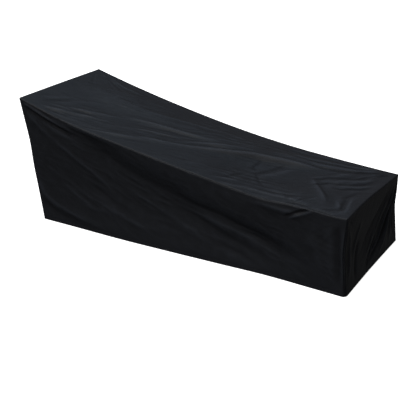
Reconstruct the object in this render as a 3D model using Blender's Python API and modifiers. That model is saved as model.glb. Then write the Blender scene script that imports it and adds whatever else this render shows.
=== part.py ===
"""Fitted cover for a long outdoor lounge chair, as it hangs over the chair.

Five panels of coated cloth, cut and sewn along the edges: a long sagging top, two tapering sides,
a tall head end that leans in towards the floor, and a short foot end. The cover is hollow and open
below. Metres, +X from the head end to the foot end, +Z up, the origin on the floor under the middle.
"""

from collections import namedtuple

import bmesh
import bpy
import numpy as np

CLOTH = 0.0015  # thickness of the cloth
SEAM_GAP = 0.0003  # between two panels, where the thread holds them
SEAM_SLOPE = 0.0006  # taken up by the slope of the cloth at the seam
SEAM_STEP = CLOTH + SEAM_GAP + SEAM_SLOPE  # a panel stops this short of the one that laps over it
HEAD_SEAM_STEP = SEAM_STEP + 0.0006  # more under the acute edge at the head
TOP_SAG = 0.063  # fall of the top's long edges below a straight line, halfway

FACES_ALONG = 48  # of the long panels
FACES_ACROSS_TOP = 16
FACES_UP_SIDE = 10
HEAD_FACES = (16, 14)  # across, up
FOOT_FACES = (18, 10)
FOLD_SAMPLES = 32  # points that stand for a fold's line

CLOTH_COLOUR = (0.013, 0.015, 0.018, 1.0)
CLOTH_ROUGHNESS = 0.62


def table(names, *rows):
    """Rows with named columns."""
    row_type = namedtuple("Row", names)
    return [row_type(*row) for row in rows]


# The corners of the top, and the same corners where the hem reaches the floor.
CORNERS = {
    row.corner: row
    for row in table(
        "corner    x       y       z      hem_x   hem_y",
        ("head_near", -1.062, -0.385, 0.744, -0.919, -0.409),
        ("head_far", -1.052, 0.385, 0.761, -0.917, 0.407),
        ("foot_near", 1.038, -0.386, 0.417, 1.067, -0.414),
        ("foot_far", 1.041, 0.387, 0.407, 1.061, 0.406),
    )
}

# How far each upright seam stands off the straight line between its two corners, towards the
# outside at the head or the foot. share is counted up from the hem.
UPRIGHT_BOWS = table(
    "at_head share  out",
    (True, 0.00, 0.000),
    (True, 0.25, -0.004),
    (True, 0.45, -0.005),
    (True, 0.66, -0.014),
    (True, 0.84, -0.007),
    (True, 1.00, 0.000),
    (False, 0.00, 0.000),
    (False, 0.12, -0.005),
    (False, 0.30, -0.009),
    (False, 0.55, -0.013),
    (False, 0.80, -0.004),
    (False, 1.00, 0.000),
)

# Waves of the hem and of the top's long edges, as the share along from the head and the distance
# that the edge stands outwards there.
HEM_WAVES = table(
    "edge share  out",
    ("near", 0.00, 0.000),
    ("near", 0.12, 0.002),
    ("near", 0.29, 0.007),
    ("near", 0.46, 0.001),
    ("near", 0.62, -0.008),
    ("near", 0.77, -0.017),
    ("near", 0.90, -0.008),
    ("near", 1.00, 0.000),
    ("far", 0.00, 0.000),
    ("far", 0.22, -0.007),
    ("far", 0.47, 0.007),
    ("far", 0.73, -0.008),
    ("far", 0.95, 0.005),
    ("far", 1.00, 0.000),
    ("head", 0.00, 0.000),
    ("head", 0.50, 0.006),
    ("head", 1.00, 0.000),
    ("foot", 0.00, 0.000),
    ("foot", 0.45, -0.004),
    ("foot", 1.00, 0.000),
)
TOP_EDGE_WAVES = table(
    "edge share   out    up",
    ("near", 0.00, 0.000, 0.000),
    ("near", 0.14, 0.002, -0.008),
    ("near", 0.38, 0.001, 0.000),
    ("near", 0.60, -0.001, -0.004),
    ("near", 0.77, -0.007, -0.018),
    ("near", 0.86, -0.003, -0.004),
    ("near", 0.92, 0.000, -0.001),
    ("near", 0.96, 0.000, -0.004),
    ("near", 1.00, 0.000, 0.000),
    ("far", 0.00, 0.000, 0.000),
    ("far", 0.30, 0.002, 0.001),
    ("far", 0.66, 0.000, -0.001),
    ("far", 0.86, 0.003, 0.001),
    ("far", 1.00, 0.000, 0.000),
    ("head", 0.00, 0.000, 0.000),
    ("head", 0.50, 0.000, 0.002),
    ("head", 1.00, 0.000, 0.000),
    ("foot", 0.00, 0.000, 0.000),
    ("foot", 0.10, 0.000, 0.007),
    ("foot", 0.40, 0.000, 0.014),
    ("foot", 0.62, 0.000, 0.009),
    ("foot", 0.85, 0.000, 0.004),
    ("foot", 1.00, 0.000, 0.000),
)

# Folds. Each runs along a smooth line from its start, past a middle point, to its end, and stands
# out of the panel by height, or lies in by it where height is negative. left and right are its half
# widths to each side of the line, seen from outside. The two measures of a point are along the
# chair and up on a side, along and across on the top, and across and up on an end.
FOLD_COLUMNS = "start        middle          end         left right height"
SIDE_NEAR_FOLDS = table(
    FOLD_COLUMNS,
    # The long trough under the top edge, which leaves the edge and dies away towards the foot.
    ((-0.84, 0.650), (-0.24, 0.402), (0.36, 0.255), 0.072, 0.150, -0.034),
    ((-0.14, 0.380), (0.32, 0.272), (0.88, 0.110), 0.044, 0.070, -0.024),
    # The side hangs in at half height and flares out again to its hem.
    ((-0.96, 0.360), (-0.10, 0.210), (0.90, 0.150), 0.110, 0.120, -0.011),
    # The ridge below it, and the shallow trough below that.
    ((-0.05, 0.300), (0.33, 0.222), (0.80, 0.095), 0.042, 0.042, 0.008),
    ((-0.16, 0.300), (0.25, 0.200), (0.76, 0.045), 0.044, 0.048, -0.011),
    # Ridges that come off the leaning head edge and sweep down to the hem.
    ((-0.98, 0.330), (-0.78, 0.110), (-0.36, 0.020), 0.050, 0.044, 0.010),
    ((-0.86, 0.550), (-0.64, 0.425), (-0.38, 0.260), 0.044, 0.044, 0.005),
    # The side's upper edge rolls out where the top is slack near the foot.
    ((0.16, 0.446), (0.50, 0.394), (0.84, 0.378), 0.045, 0.050, 0.007),
    # It falls in beside the upright seam at the foot.
    ((0.985, 0.370), (1.000, 0.230), (1.015, 0.060), 0.044, 0.044, -0.005),
)
SIDE_FAR_FOLDS = table(
    FOLD_COLUMNS,
    ((-0.90, 0.650), (-0.28, 0.408), (0.26, 0.255), 0.150, 0.072, -0.028),
    ((-0.10, 0.385), (0.38, 0.262), (0.88, 0.152), 0.070, 0.046, -0.018),
    ((-0.96, 0.260), (-0.62, 0.115), (-0.20, 0.040), 0.044, 0.048, 0.009),
    ((0.02, 0.260), (0.34, 0.170), (0.74, 0.070), 0.044, 0.044, 0.008),
    ((-0.66, 0.470), (-0.44, 0.340), (-0.20, 0.200), 0.044, 0.044, 0.006),
    ((-0.46, 0.240), (-0.20, 0.170), (0.10, 0.070), 0.044, 0.044, -0.008),
)
TOP_FOLDS = table(
    FOLD_COLUMNS,
    # The long ridge from the near edge at the head to the far corner at the foot.
    ((-0.62, -0.372), (-0.22, -0.192), (0.187, 0.000), 0.050, 0.050, 0.006),
    ((-0.13, -0.155), (0.40, 0.092), (0.960, 0.270), 0.150, 0.052, 0.015),
    # The long soft ridge where the top starts to fall towards its far seam.
    ((-1.04, 0.130), (-0.30, 0.112), (0.42, 0.165), 0.165, 0.120, 0.013),
    # A softer one beyond it, and the valley between them.
    ((-0.62, -0.085), (-0.24, 0.015), (0.140, 0.085), 0.048, 0.048, 0.005),
    ((-0.50, -0.125), (-0.22, -0.022), (0.060, 0.055), 0.048, 0.048, -0.004),
    # The slack between the ridge and the near edge.
    ((0.06, -0.230), (0.44, -0.125), (0.84, -0.090), 0.130, 0.110, -0.010),
    ((0.20, -0.335), (0.55, -0.328), (0.82, -0.318), 0.046, 0.046, 0.004),
    ((0.66, 0.030), (0.77, -0.120), (0.89, -0.290), 0.046, 0.085, 0.006),
    # Creases that meet at the far corner at the foot.
    ((0.40, 0.178), (0.69, 0.236), (0.960, 0.330), 0.044, 0.046, -0.006),
    ((0.66, 0.000), (0.83, 0.112), (0.950, 0.235), 0.044, 0.044, -0.005),
)
HEAD_FOLDS = table(
    FOLD_COLUMNS,
    ((-0.35, 0.690), (-0.18, 0.420), (-0.10, 0.100), 0.050, 0.050, -0.008),
    ((0.35, 0.700), (0.18, 0.420), (0.02, 0.120), 0.050, 0.052, -0.009),
    ((-0.36, 0.560), (-0.28, 0.330), (-0.25, 0.030), 0.050, 0.050, 0.006),
    ((0.34, 0.520), (0.27, 0.300), (0.26, 0.020), 0.050, 0.050, 0.007),
)
FOOT_FOLDS = table(
    FOLD_COLUMNS,
    # They fan down from the far top corner to the near part of the hem.
    ((0.350, 0.350), (0.200, 0.152), (-0.170, 0.030), 0.040, 0.040, -0.014),
    ((0.340, 0.380), (0.180, 0.216), (-0.120, 0.070), 0.040, 0.040, 0.012),
    ((0.345, 0.330), (0.250, 0.170), (0.050, 0.010), 0.040, 0.040, 0.005),
    ((0.280, 0.385), (0.050, 0.270), (-0.230, 0.130), 0.040, 0.042, -0.006),
    ((-0.170, 0.350), (-0.230, 0.260), (-0.290, 0.120), 0.042, 0.042, 0.006),
)


def smooth_through(shares, values, share):
    """A smooth line through a table's values, without a corner at any of its rows."""
    shares, values = np.array(shares), np.array(values)
    slopes = np.gradient(values, shares)
    row = int(np.clip(np.searchsorted(shares, share, side="right") - 1, 0, len(shares) - 2))
    span = shares[row + 1] - shares[row]
    part = (share - shares[row]) / span
    rest = 1.0 - part
    ends = values[row] * (1.0 + 2.0 * part) * rest**2 + values[row + 1] * (1.0 + 2.0 * rest) * part**2
    return ends + span * part * rest * (slopes[row] * rest - slopes[row + 1] * part)


def wave(rows, share, column):
    return smooth_through([row.share for row in rows], [getattr(row, column) for row in rows], share)


def rows_for(rows, column, value):
    return [row for row in rows if getattr(row, column) == value]


def top_corner(name):
    corner = CORNERS[name]
    return np.array((corner.x, corner.y, corner.z))


def hem_corner(name):
    corner = CORNERS[name]
    return np.array((corner.hem_x, corner.hem_y, 0.0))


OUTWARD = {
    "near": np.array((0.0, -1.0, 0.0)),
    "far": np.array((0.0, 1.0, 0.0)),
    "head": np.array((-1.0, 0.0, 0.0)),
    "foot": np.array((1.0, 0.0, 0.0)),
    "top": np.array((0.0, 0.0, 1.0)),
}
UP = OUTWARD["top"]


def top_edge(edge, first, last, share):
    """A point of the seam round the top. share runs from the corner named first to last."""
    rows = rows_for(TOP_EDGE_WAVES, "edge", edge)
    sag = TOP_SAG * 4.0 * share * (1.0 - share) if edge in ("near", "far") else 0.0
    point = top_corner(first) * (1.0 - share) + top_corner(last) * share
    point = point + OUTWARD[edge] * wave(rows, share, "out")
    return point + UP * (wave(rows, share, "up") - sag)


def hem_edge(edge, first, last, share):
    rows = rows_for(HEM_WAVES, "edge", edge)
    point = hem_corner(first) * (1.0 - share) + hem_corner(last) * share
    return point + OUTWARD[edge] * wave(rows, share, "out")


def upright(corner, share):
    """A point of the seam at a corner. share runs up from the hem."""
    at_head = corner.startswith("head")
    rows = rows_for(UPRIGHT_BOWS, "at_head", at_head)
    point = hem_corner(corner) * (1.0 - share) + top_corner(corner) * share
    return point + OUTWARD["head" if at_head else "foot"] * wave(rows, share, "out")


def patch(lower, upper, left, right, u, v):
    """The smooth surface inside four edge lines, which meet at the corners."""
    between_long = lower(u) * (1.0 - v) + upper(u) * v
    between_short = left(v) * (1.0 - u) + right(v) * u
    low = lower(0.0) * (1.0 - u) + lower(1.0) * u
    high = upper(0.0) * (1.0 - u) + upper(1.0) * u
    return between_long + between_short - low * (1.0 - v) - high * v


def fold_height(point, fold):
    """How far one fold lifts the cloth at a point: a bell across its line that dies at both ends."""
    along = np.linspace(0.0, 1.0, FOLD_SAMPLES)[:, None]
    start, middle, end = (np.array(p) for p in (fold.start, fold.middle, fold.end))
    bend = 2.0 * middle - 0.5 * (start + end)
    line = start * (1.0 - along) ** 2 + bend * 2.0 * along * (1.0 - along) + end * along**2
    away = np.array(point) - line
    distances = np.linalg.norm(away, axis=1)
    nearest = int(np.argmin(distances))
    run = line[min(nearest + 1, FOLD_SAMPLES - 1)] - line[max(nearest - 1, 0)]
    on_left = run[0] * away[nearest, 1] - run[1] * away[nearest, 0] > 0.0
    half_width = fold.left if on_left else fold.right
    fade = np.sin(np.pi * along[nearest, 0]) ** 0.7
    return fold.height * fade * np.exp(-((distances[nearest] / half_width) ** 2))


def edge_fade(u, v, across, up, keep_hem):
    """0 along the seams and 1 a little way in, so that the folds leave the seams where they are."""
    reach = 0.055
    from_sides = min(u, 1.0 - u) * across
    from_ends = (1.0 - v) * up if keep_hem else min(v, 1.0 - v) * up
    near = np.clip(np.array((from_sides, from_ends)) / reach, 0.0, 1.0)
    eased = near * near * (3.0 - 2.0 * near)
    return float(eased[0] * eased[1])


def cloth_material():
    material = bpy.data.materials.new("black coated cloth")
    material.use_nodes = True
    shader = material.node_tree.nodes["Principled BSDF"]
    shader.inputs["Base Color"].default_value = CLOTH_COLOUR
    shader.inputs["Roughness"].default_value = CLOTH_ROUGHNESS
    shader.inputs["Metallic"].default_value = 0.0
    return material


def sheet(name, surface, faces, measures, folds, side, size, collection, material):
    """One panel: its smooth surface with the folds added, outer face first, then its thickness.

    faces are the counts along u and v, measures the two axes that the folds are given in, and
    size the panel's rough width and height.
    """
    columns, rows = faces
    form = bmesh.new()
    grid = []
    for i in range(columns + 1):
        for j in range(rows + 1):
            u, v = i / columns, j / rows
            point = surface(u, v)
            fade = edge_fade(u, v, *size, keep_hem=side != "top")
            lift = sum(fold_height(point[list(measures)], fold) for fold in folds) * fade
            grid.append(form.verts.new(point + OUTWARD[side] * lift))
    for i in range(columns):
        for j in range(rows):
            corner = i * (rows + 1) + j
            beside = corner + rows + 1
            form.faces.new((grid[corner], grid[beside], grid[beside + 1], grid[corner + 1]))
    mesh = bpy.data.meshes.new(name)
    form.to_mesh(mesh)
    form.free()
    mesh.shade_smooth()
    panel = bpy.data.objects.new(name, mesh)
    panel.data.materials.append(material)
    collection.objects.link(panel)
    solidify = panel.modifiers.new("thickness", "SOLIDIFY")
    solidify.thickness = CLOTH
    solidify.offset = -1.0
    return panel


def top_panel(collection, material):
    def surface(u, v):
        return patch(
            lambda s: top_edge("near", "head_near", "foot_near", s),
            lambda s: top_edge("far", "head_far", "foot_far", s),
            lambda s: top_edge("head", "head_near", "head_far", s),
            lambda s: top_edge("foot", "foot_near", "foot_far", s),
            u,
            v,
        )

    faces = (FACES_ALONG, FACES_ACROSS_TOP)
    return sheet("top_panel", surface, faces, (0, 1), TOP_FOLDS, "top", (2.1, 0.77), collection, material)


def side_panel(side, folds, collection, material):
    """A long side, seen from outside: u runs to the right and v up from the hem."""
    left, right = ("head", "foot") if side == "near" else ("foot", "head")
    corners = (f"{left}_{side}", f"{right}_{side}")

    def along(share):
        """The share along the long edges, which are always counted from the head."""
        return share if side == "near" else 1.0 - share

    def surface(u, v):
        return patch(
            lambda s: hem_edge(side, f"head_{side}", f"foot_{side}", along(s)),
            lambda s: top_edge(side, f"head_{side}", f"foot_{side}", along(s)) - UP * SEAM_STEP,
            lambda s: upright(corners[0], s) - UP * SEAM_STEP * s,
            lambda s: upright(corners[1], s) - UP * SEAM_STEP * s,
            u,
            v,
        )

    faces = (FACES_ALONG, FACES_UP_SIDE)
    name = f"side_panel_{side}"
    return sheet(name, surface, faces, (0, 2), folds, side, (2.0, 0.5), collection, material)


def end_panel(end, faces, folds, height, step, collection, material):
    """An end, which fits between the two sides and under the top."""
    left, right = ("far", "near") if end == "head" else ("near", "far")

    def inset(point):
        """Draws a point of the edge in, clear of the side that laps over it."""
        return point - np.array((0.0, np.sign(point[1]) * SEAM_STEP, 0.0))

    def across(edge_line, share):
        near_share = 1.0 - share if end == "head" else share
        point = edge_line(end, f"{end}_near", f"{end}_far", near_share)
        return point - np.array((0.0, (2.0 * near_share - 1.0) * SEAM_STEP, 0.0))

    def surface(u, v):
        return patch(
            lambda s: across(hem_edge, s),
            lambda s: across(top_edge, s) - UP * step,
            lambda s: inset(upright(f"{end}_{left}", s)) - UP * step * s,
            lambda s: inset(upright(f"{end}_{right}", s)) - UP * step * s,
            u,
            v,
        )

    name = f"{end}_panel"
    return sheet(name, surface, faces, (1, 2), folds, end, (0.77, height), collection, material)


def build():
    for old in list(bpy.data.objects):
        bpy.data.objects.remove(old)
    collection = bpy.data.collections.new("lounge_chair_cover")
    bpy.context.scene.collection.children.link(collection)
    material = cloth_material()
    top_panel(collection, material)
    side_panel("near", SIDE_NEAR_FOLDS, collection, material)
    side_panel("far", SIDE_FAR_FOLDS, collection, material)
    end_panel("head", HEAD_FACES, HEAD_FOLDS, 0.75, HEAD_SEAM_STEP, collection, material)
    end_panel("foot", FOOT_FACES, FOOT_FOLDS, 0.41, SEAM_STEP, collection, material)


build()
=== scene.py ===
"""Fitted cloth cover for a lounge chair, hanging over the chair that it hides."""

import math
from collections import namedtuple
from functools import partial

import bpy
import numpy as np
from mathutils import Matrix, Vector, noise


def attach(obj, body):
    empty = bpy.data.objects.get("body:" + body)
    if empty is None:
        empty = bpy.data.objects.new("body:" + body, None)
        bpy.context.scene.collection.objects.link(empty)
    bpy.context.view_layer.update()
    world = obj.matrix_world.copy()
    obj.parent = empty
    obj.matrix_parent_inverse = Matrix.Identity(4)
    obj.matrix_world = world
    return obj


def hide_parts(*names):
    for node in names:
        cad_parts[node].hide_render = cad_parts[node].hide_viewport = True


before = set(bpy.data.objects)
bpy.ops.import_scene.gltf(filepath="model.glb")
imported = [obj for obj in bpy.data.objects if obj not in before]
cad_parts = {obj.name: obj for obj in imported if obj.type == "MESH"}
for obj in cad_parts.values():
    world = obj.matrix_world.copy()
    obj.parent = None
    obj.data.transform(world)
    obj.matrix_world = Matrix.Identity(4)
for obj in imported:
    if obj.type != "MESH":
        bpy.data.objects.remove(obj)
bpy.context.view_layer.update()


# ------------------------------------------------------------------------------------------------
# Top panel. One length of black coated polyester cloth, cut a little wider than the chair and sewn
# to the sides and ends all round. It is drawn tight from the near corner at the head to the far
# corner at the foot, lies slack beside that line, and sags from the raised back to the leg rest.

CLOTH = 0.0012  # thickness of the cloth
CELL_ALONG = 0.0083  # size of a face along the cover, and across its folds
CELL_ACROSS = 0.0048
SEAM_CELL = 0.0013  # size of the first face at a seam
SEAM_GROWTH = 1.4  # how fast the faces grow away from it
TOP_SAG = 0.063  # fall of the top's long edges below a straight line, halfway
TIGHT_EDGE = 0.005  # radius over a seam that is drawn tight
SLACK_EDGE = 0.015  # the same where the cloth hangs slack over it
SEAM_GROOVE = 0.0009  # how far the thread draws the seam in
GROOVE_WIDTH = 0.0016
GROOVE_SHARE = 0.7  # how much of it goes in from each of the two panels
SEAM_PUCKER = 0.0006  # height of the small ripples that the thread makes
PUCKER_LENGTH = 0.016
PUCKER_REACH = 0.014  # how far they run into the panel
PUCKER_START = 0.003  # there are none under the thread itself

Corner = namedtuple("Corner", "x y z hem_x hem_y")
CORNERS = {
    "head_near": Corner(-1.062, -0.385, 0.744, -0.919, -0.409),
    "head_far": Corner(-1.052, 0.385, 0.761, -0.917, 0.407),
    "foot_near": Corner(1.038, -0.386, 0.417, 1.067, -0.414),
    "foot_far": Corner(1.041, 0.387, 0.407, 1.061, 0.406),
}
SIDES = ("near", "far")
OUTWARD = {
    "near": np.array((0.0, -1.0, 0.0)),
    "far": np.array((0.0, 1.0, 0.0)),
    "head": np.array((-1.0, 0.0, 0.0)),
    "foot": np.array((1.0, 0.0, 0.0)),
    "top": np.array((0.0, 0.0, 1.0)),
}

# How the seams round the top wander: the share along from the head, or from the near side, and how
# far the seam stands out and up there. slack is 1 where the cloth rolls softly over the seam. The
# lengths in this table, and in all those that follow, are in millimetres.
MM = 0.001
EdgeRow = namedtuple("EdgeRow", "share out up slack")
TOP_EDGES = {
    "near": [
        EdgeRow(0.0, 0, 0, 0.0), EdgeRow(0.14, 2, -8, 0.1), EdgeRow(0.38, 1, 0, 0.35),
        EdgeRow(0.6, -1, -4, 0.7), EdgeRow(0.77, -7, -18, 0.8), EdgeRow(0.86, -3, -4, 0.5),
        EdgeRow(0.92, 0, -1, 0.2), EdgeRow(0.96, 0, -4, 0.0), EdgeRow(1.0, 0, 0, 0.0),
    ],
    "far": [
        EdgeRow(0.0, 0, 0, 0.0), EdgeRow(0.3, 2, 1, 0.3), EdgeRow(0.66, 0, -1, 0.6),
        EdgeRow(0.86, 3, 1, 0.3), EdgeRow(1.0, 0, 0, 0.0),
    ],
    "head": [
        EdgeRow(0.0, 0, 0, 0.0), EdgeRow(0.5, 0, 2, 0.2), EdgeRow(1.0, 0, 0, 0.0),
    ],
    "foot": [
        EdgeRow(0.0, 0, 0, 0.0), EdgeRow(0.1, 0, 7, 0.1), EdgeRow(0.4, 0, 14, 0.3),
        EdgeRow(0.62, 0, 9, 0.3), EdgeRow(0.85, 0, 4, 0.1), EdgeRow(1.0, 0, 0, 0.0),
    ],
}

# Folds. Each follows a smooth line through a few points. height is how far it stands out of the
# panel, or lies in where negative. left and right are its half widths on either side of the line,
# seen from outside. crisp runs from 0, a soft swell, to 1, a sharp crease. starts and ends are the
# shares of its length over which it rises and dies away.
Fold = namedtuple("Fold", "line height left right crisp starts ends", defaults=(0.35, 0.35))
TOP_FOLDS = [
    # The drawn line from corner to corner, with the far strip falling away from it.
    Fold(((-620, -372), (-410, -290), (-247, -205), (-13, -102), (187, 0)), 6, 40, 30, 0.7, 0.3),
    Fold(((-130, -155), (76, -54), (187, 0), (303, 62), (422, 98), (583, 126), (726, 160),
         (960, 270)), 15, 150, 46, 0.3, 0.4, 0.5),
    # The long soft ridge along the far third, which runs on beside the drawn line to the foot, the
    # thin crest of that line, and a faint hollow beyond.
    Fold(((-1040, 130), (-750, 120), (-450, 112), (-150, 115), (120, 140), (280, 175), (420, 200),
         (600, 215), (780, 240)), 15, 165, 110, 0.12, 0.2),
    Fold(((-60, -124), (187, 0), (303, 62), (422, 98), (583, 126), (700, 152), (860, 205)),
         6, 14, 18, 0.3, 0.25, 0.6),
    Fold(((200, 215), (500, 270), (900, 340)), -4, 40, 50, 0.0, 0.4, 0.2),
    # Lines beside it, drawn the same way.
    Fold(((-620, -85), (-375, -13), (-200, 20), (-59, 41), (140, 85)), 4.2, 22, 20, 0.5, 0.4),
    Fold(((-500, -190), (-309, -112), (-121, -49), (61, 29), (181, 75), (320, 115)),
         3.6, 12, 14, 0.5, 0.35, 0.3),
    Fold(((-500, -120), (-342, -62), (-263, -28), (-94, 9), (60, 55)), -3.8, 16, 18, 0.4),
    Fold(((-420, -245), (-264, -175), (-136, -128), (15, -40), (141, 20), (260, 80)),
         -3.4, 13, 13, 0.4),
    Fold(((-100, 115), (160, 150), (420, 205), (600, 225)), -3, 18, 16, 0.4),
    Fold(((-550, 80), (-250, 150), (50, 200), (300, 225)), 2.8, 20, 16, 0.3),
    # Pull lines from the near corner at the head.
    Fold(((-960, -345), (-847, -306), (-704, -247), (-480, -150)), 4.5, 18, 14, 0.6, 0.35, 0.45),
    Fold(((-950, -310), (-740, -190), (-420, -50)), 4, 18, 24, 0.5, 0.35, 0.45),
    Fold(((-980, -280), (-910, -200), (-840, -80)), -4, 16, 16, 0.4, 0.35, 0.45),
    Fold(((-900, 150), (-620, 230), (-240, 270)), 3, 45, 45, 0.1, 0.4, 0.4),
    Fold(((-940, 340), (-800, 300), (-550, 285)), 3, 14, 18, 0.5, 0.3, 0.4),
    # The slack in front of the drawn line, with the dents and creases in it.
    Fold(((60, -230), (420, -130), (840, -90)), -10, 130, 110, 0.0, 0.35, 0.3),
    Fold(((352, 48), (354, 6), (351, -60), (375, -110)), -2.6, 10, 11, 0.5),
    Fold(((375, -100), (423, -163), (468, -219), (530, -262)), -2.2, 10, 12, 0.4, 0.35, 0.4),
    Fold(((300, -130), (385, -122), (434, -51), (474, 34), (527, 92)),
         -3.2, 10, 12, 0.5, 0.35, 0.3),
    Fold(((405, -150), (475, -70), (525, 20), (600, 80)), 3, 14, 34, 0.4, 0.3),
    Fold(((205, -320), (277, -302), (327, -191), (360, -120)), -2.4, 10, 14, 0.4),
    Fold(((660, 30), (735, -75), (789, -145), (829, -203), (895, -300)),
         4.2, 11, 85, 0.55, 0.25, 0.3),
    Fold(((735, -50), (800, -135), (862, -215)), -2.2, 9, 9, 0.6, 0.3),
    # Short creases before the near corner at the foot.
    Fold(((900, -200), (945, -260), (985, -345)), 2.6, 10, 16, 0.6, 0.3, 0.2),
    Fold(((938, -150), (956, -224), (969, -337)), -3.6, 9, 10, 0.6, 0.3, 0.2),
    Fold(((968, -120), (985, -230), (1000, -345)), 2.4, 9, 11, 0.6, 0.3, 0.2),
    Fold(((922, -185), (945, -110), (975, -20)), -2.4, 8, 10, 0.5, 0.3, 0.4),
    Fold(((870, -345), (930, -315), (1000, -250)), -2.6, 10, 10, 0.6, 0.3, 0.3),
    # The rolled edge beside the near seam, and short creases over it.
    Fold(((200, -345), (360, -350), (444, -322), (583, -312), (692, -312), (830, -325)),
         3.2, 18, 11, 0.6, 0.35, 0.25),
    Fold(((400, -352), (493, -367), (568, -367), (670, -360)), -2, 8, 8, 0.5),
    Fold(((220, -340), (310, -302), (400, -262)), 4, 9, 10, 0.7, 0.4, 0.4),
    Fold(((500, -290), (640, -270), (760, -262)), -4, 14, 12, 0.5, 0.4, 0.4),
    Fold(((670, -360), (740, -345), (830, -352)), -3, 8, 9, 0.7),
    Fold(((800, -372), (880, -366), (975, -368)), -4, 7, 7, 0.6, 0.35, 0.25),
    # The fan of creases that meet at the far corner at the foot.
    Fold(((300, 140), (600, 205), (800, 256), (990, 335)), 13, 80, 60, 0.05, 0.35, 0.15),
    Fold(((400, 278), (587, 318), (714, 326), (823, 342), (960, 350)), -3, 14, 20, 0.3, 0.3, 0.2),
    Fold(((400, 178), (517, 198), (634, 218), (739, 256), (845, 294), (970, 335)),
         -7.5, 12, 26, 0.35, 0.3, 0.25),
    Fold(((560, 165), (700, 202), (790, 234), (880, 272)), 1.8, 12, 12, 0.4),
    Fold(((540, 132), (659, 154), (769, 188), (868, 238), (924, 270), (985, 325)),
         -6, 12, 24, 0.35, 0.3, 0.3),
    Fold(((700, 118), (800, 150), (880, 192), (945, 258)), 1.8, 12, 12, 0.4, 0.35, 0.3),
    Fold(((640, -20), (717, 26), (755, 70), (848, 128), (897, 164), (950, 240)),
         -5.6, 11, 21, 0.4, 0.25),
    Fold(((780, 35), (870, 85), (925, 130), (968, 212)), 2.6, 12, 12, 0.4, 0.3, 0.3),
    Fold(((690, -110), (747, -49), (785, -3), (835, 18), (926, 80), (964, 134), (985, 230)),
         -5.6, 11, 20, 0.4, 0.25, 0.4),
    Fold(((820, -40), (900, 8), (945, 45), (978, 110)), 2, 11, 11, 0.4, 0.3, 0.3),
    Fold(((800, -62), (869, -54), (912, -16), (962, 24), (1000, 90)), -5, 10, 14, 0.5, 0.3, 0.3),
]

# Fine lines where the cloth is under a pull. A Pull runs beside a line, over a spread to each side,
# a spacing apart. A Fan leaves a corner, between two angles in degrees, and dies away at its reach.
Pull = namedtuple("Pull", "line spread spacing height")
Fan = namedtuple("Fan", "corner reach first last lines height")
TOP_PULLS = [
    Pull(((-1000, -370), (-620, -260), (-300, -130), (20, 20), (300, 120), (600, 190)),
         120, 26, 3.4),
    Pull(((-850, 50), (-450, 140), (0, 220), (450, 280), (950, 340)), 90, 30, 2.4),
    Pull(((-100, -330), (300, -250), (700, -200)), 80, 32, 2.4),
]
TOP_FANS = [
    Fan((1041, 387), 420, 176, 250, 11, 3.8),
    Fan((-1062, -385), 550, 4, 60, 9, 2.6),
    Fan((1038, -386), 220, 96, 172, 8, 3),
    Fan((-1052, 385), 300, 290, 356, 8, 2),
    Fan((700, -385), 160, 30, 150, 8, 3),
]


def smooth_line(shares, values, at):
    """A smooth line through a table's values."""
    shares = np.asarray(shares, dtype=float)
    values = np.asarray(values, dtype=float)
    slopes = np.gradient(values, shares)
    row = np.clip(np.searchsorted(shares, at, side="right") - 1, 0, len(shares) - 2)
    span = shares[row + 1] - shares[row]
    part = (at - shares[row]) / span
    rest = 1.0 - part
    return (
        values[row] * (1.0 + 2.0 * part) * rest**2
        + values[row + 1] * (1.0 + 2.0 * rest) * part**2
        + slopes[row] * span * part * rest**2
        - slopes[row + 1] * span * rest * part**2
    )


def from_table(rows, name, share):
    """One column of a table, read smoothly at any share."""
    return smooth_line([row.share for row in rows], [getattr(row, name) for row in rows], share)


def eased(amount):
    """0 to 1 with a level start and end."""
    amount = np.clip(amount, 0.0, 1.0)
    return amount * amount * (3.0 - 2.0 * amount)


def top_corner(name):
    corner = CORNERS[name]
    return np.array((corner.x, corner.y, corner.z))


def hem_corner(name):
    corner = CORNERS[name]
    return np.array((corner.hem_x, corner.hem_y, 0.0))


def between_corners(edge, corner, share):
    """Points on the straight line along an edge. corner finds a corner's place by its name."""
    ends = (f"head_{edge}", f"foot_{edge}") if edge in SIDES else (f"{edge}_near", f"{edge}_far")
    share = np.asarray(share)[..., None]
    return corner(ends[0]) * (1.0 - share) + corner(ends[1]) * share


def top_seam(edge, share):
    """Points of a seam round the top. share is counted from the head, or from the near side."""
    rows = TOP_EDGES[edge]
    sag = TOP_SAG * 4.0 * share * (1.0 - share) if edge in SIDES else 0.0
    out = MM * from_table(rows, "out", share)[..., None] * OUTWARD[edge]
    up = (MM * from_table(rows, "up", share) - sag)[..., None] * OUTWARD["top"]
    return between_corners(edge, top_corner, share) + out + up


def top_radius(edge, share):
    """The radius over a seam round the top, which is tight again at its corners."""
    slack = from_table(TOP_EDGES[edge], "slack", share)
    return TIGHT_EDGE + (SLACK_EDGE - TIGHT_EDGE) * np.clip(slack, 0.0, 1.0)


def patch(lower, upper, left, right, u, v):
    """The smooth surface inside four edge lines. u and v are the shares along and up it."""
    along_v, along_u = v[..., None], u[..., None]
    ends = np.array((0.0, 1.0))
    low, high = lower(ends), upper(ends)
    between_long = lower(u) * (1.0 - along_v) + upper(u) * along_v
    between_short = left(v) * (1.0 - along_u) + right(v) * along_u
    corners = (low[0] * (1.0 - along_u) + low[1] * along_u) * (1.0 - along_v)
    corners = corners + (high[0] * (1.0 - along_u) + high[1] * along_u) * along_v
    return between_long + between_short - corners


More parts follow.
